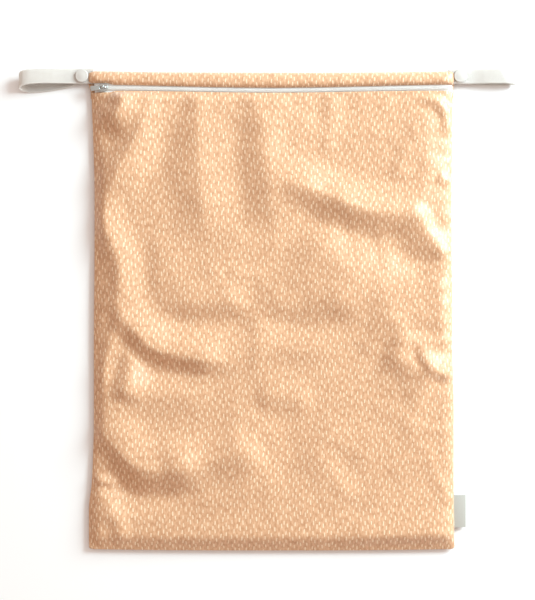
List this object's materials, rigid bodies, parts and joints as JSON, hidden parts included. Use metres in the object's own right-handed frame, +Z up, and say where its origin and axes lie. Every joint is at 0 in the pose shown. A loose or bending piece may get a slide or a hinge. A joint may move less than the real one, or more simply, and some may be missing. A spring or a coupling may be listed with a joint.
{
  "type": "cloth diaper wet bag",
  "caption": "Flat cloth wet bag lying on its back, with a coil zip under a narrow top strip, snap-closed webbing loops at the top corners and a small side label.",
  "frame": {"origin": "middle of the body, on the face of the back panel that the bag lies on", "axes": "+X along the zip from the slider's end to the closed end, +Y from the bottom seam to the top seam, +Z up out of the zipped front"},
  "size_m": [0.478, 0.4632, 0.02],
  "materials": {
    "cloth": "printed polyester knit with a waterproof laminate, soft satin",
    "zip_tape": "woven polyester tape, matte",
    "zip_coil": "nylon coil, satin",
    "zip_metal": "die-cast zinc, plated and tumbled",
    "webbing": "white woven webbing, matte",
    "snap_plastic": "moulded acetal, glossy",
    "label_ribbon": "satin ribbon, blank"
  },
  "bodies": {
    "bag": {"front_panel": "cloth", "top_strip": "cloth", "back_panel": "cloth", "zip_tape_upper": "zip_tape", "zip_tape_lower": "zip_tape", "zip_coil_upper": "zip_coil", "zip_coil_lower": "zip_coil", "zip_slider": "zip_metal", "loop_left": "webbing", "loop_right": "webbing", "side_label": "label_ribbon", "snap_cap_left": "snap_plastic", "snap_socket_left": "snap_plastic", "snap_stud_left": "snap_plastic", "snap_back_cap_left": "snap_plastic", "snap_cap_right": "snap_plastic", "snap_socket_right": "snap_plastic", "snap_stud_right": "snap_plastic", "snap_back_cap_right": "snap_plastic"},
    "pull": {"pull_tab": "zip_metal"}
  },
  "joints": [
    {"name": "pull_tab_hinge", "type": "hinge", "parent": "bag", "child": "pull", "pos_m": [-0.16058, 0.21307, 0.01085], "axis": [-0.0872, 0.9962, 0], "range_deg": [0, 165]}
  ]
}
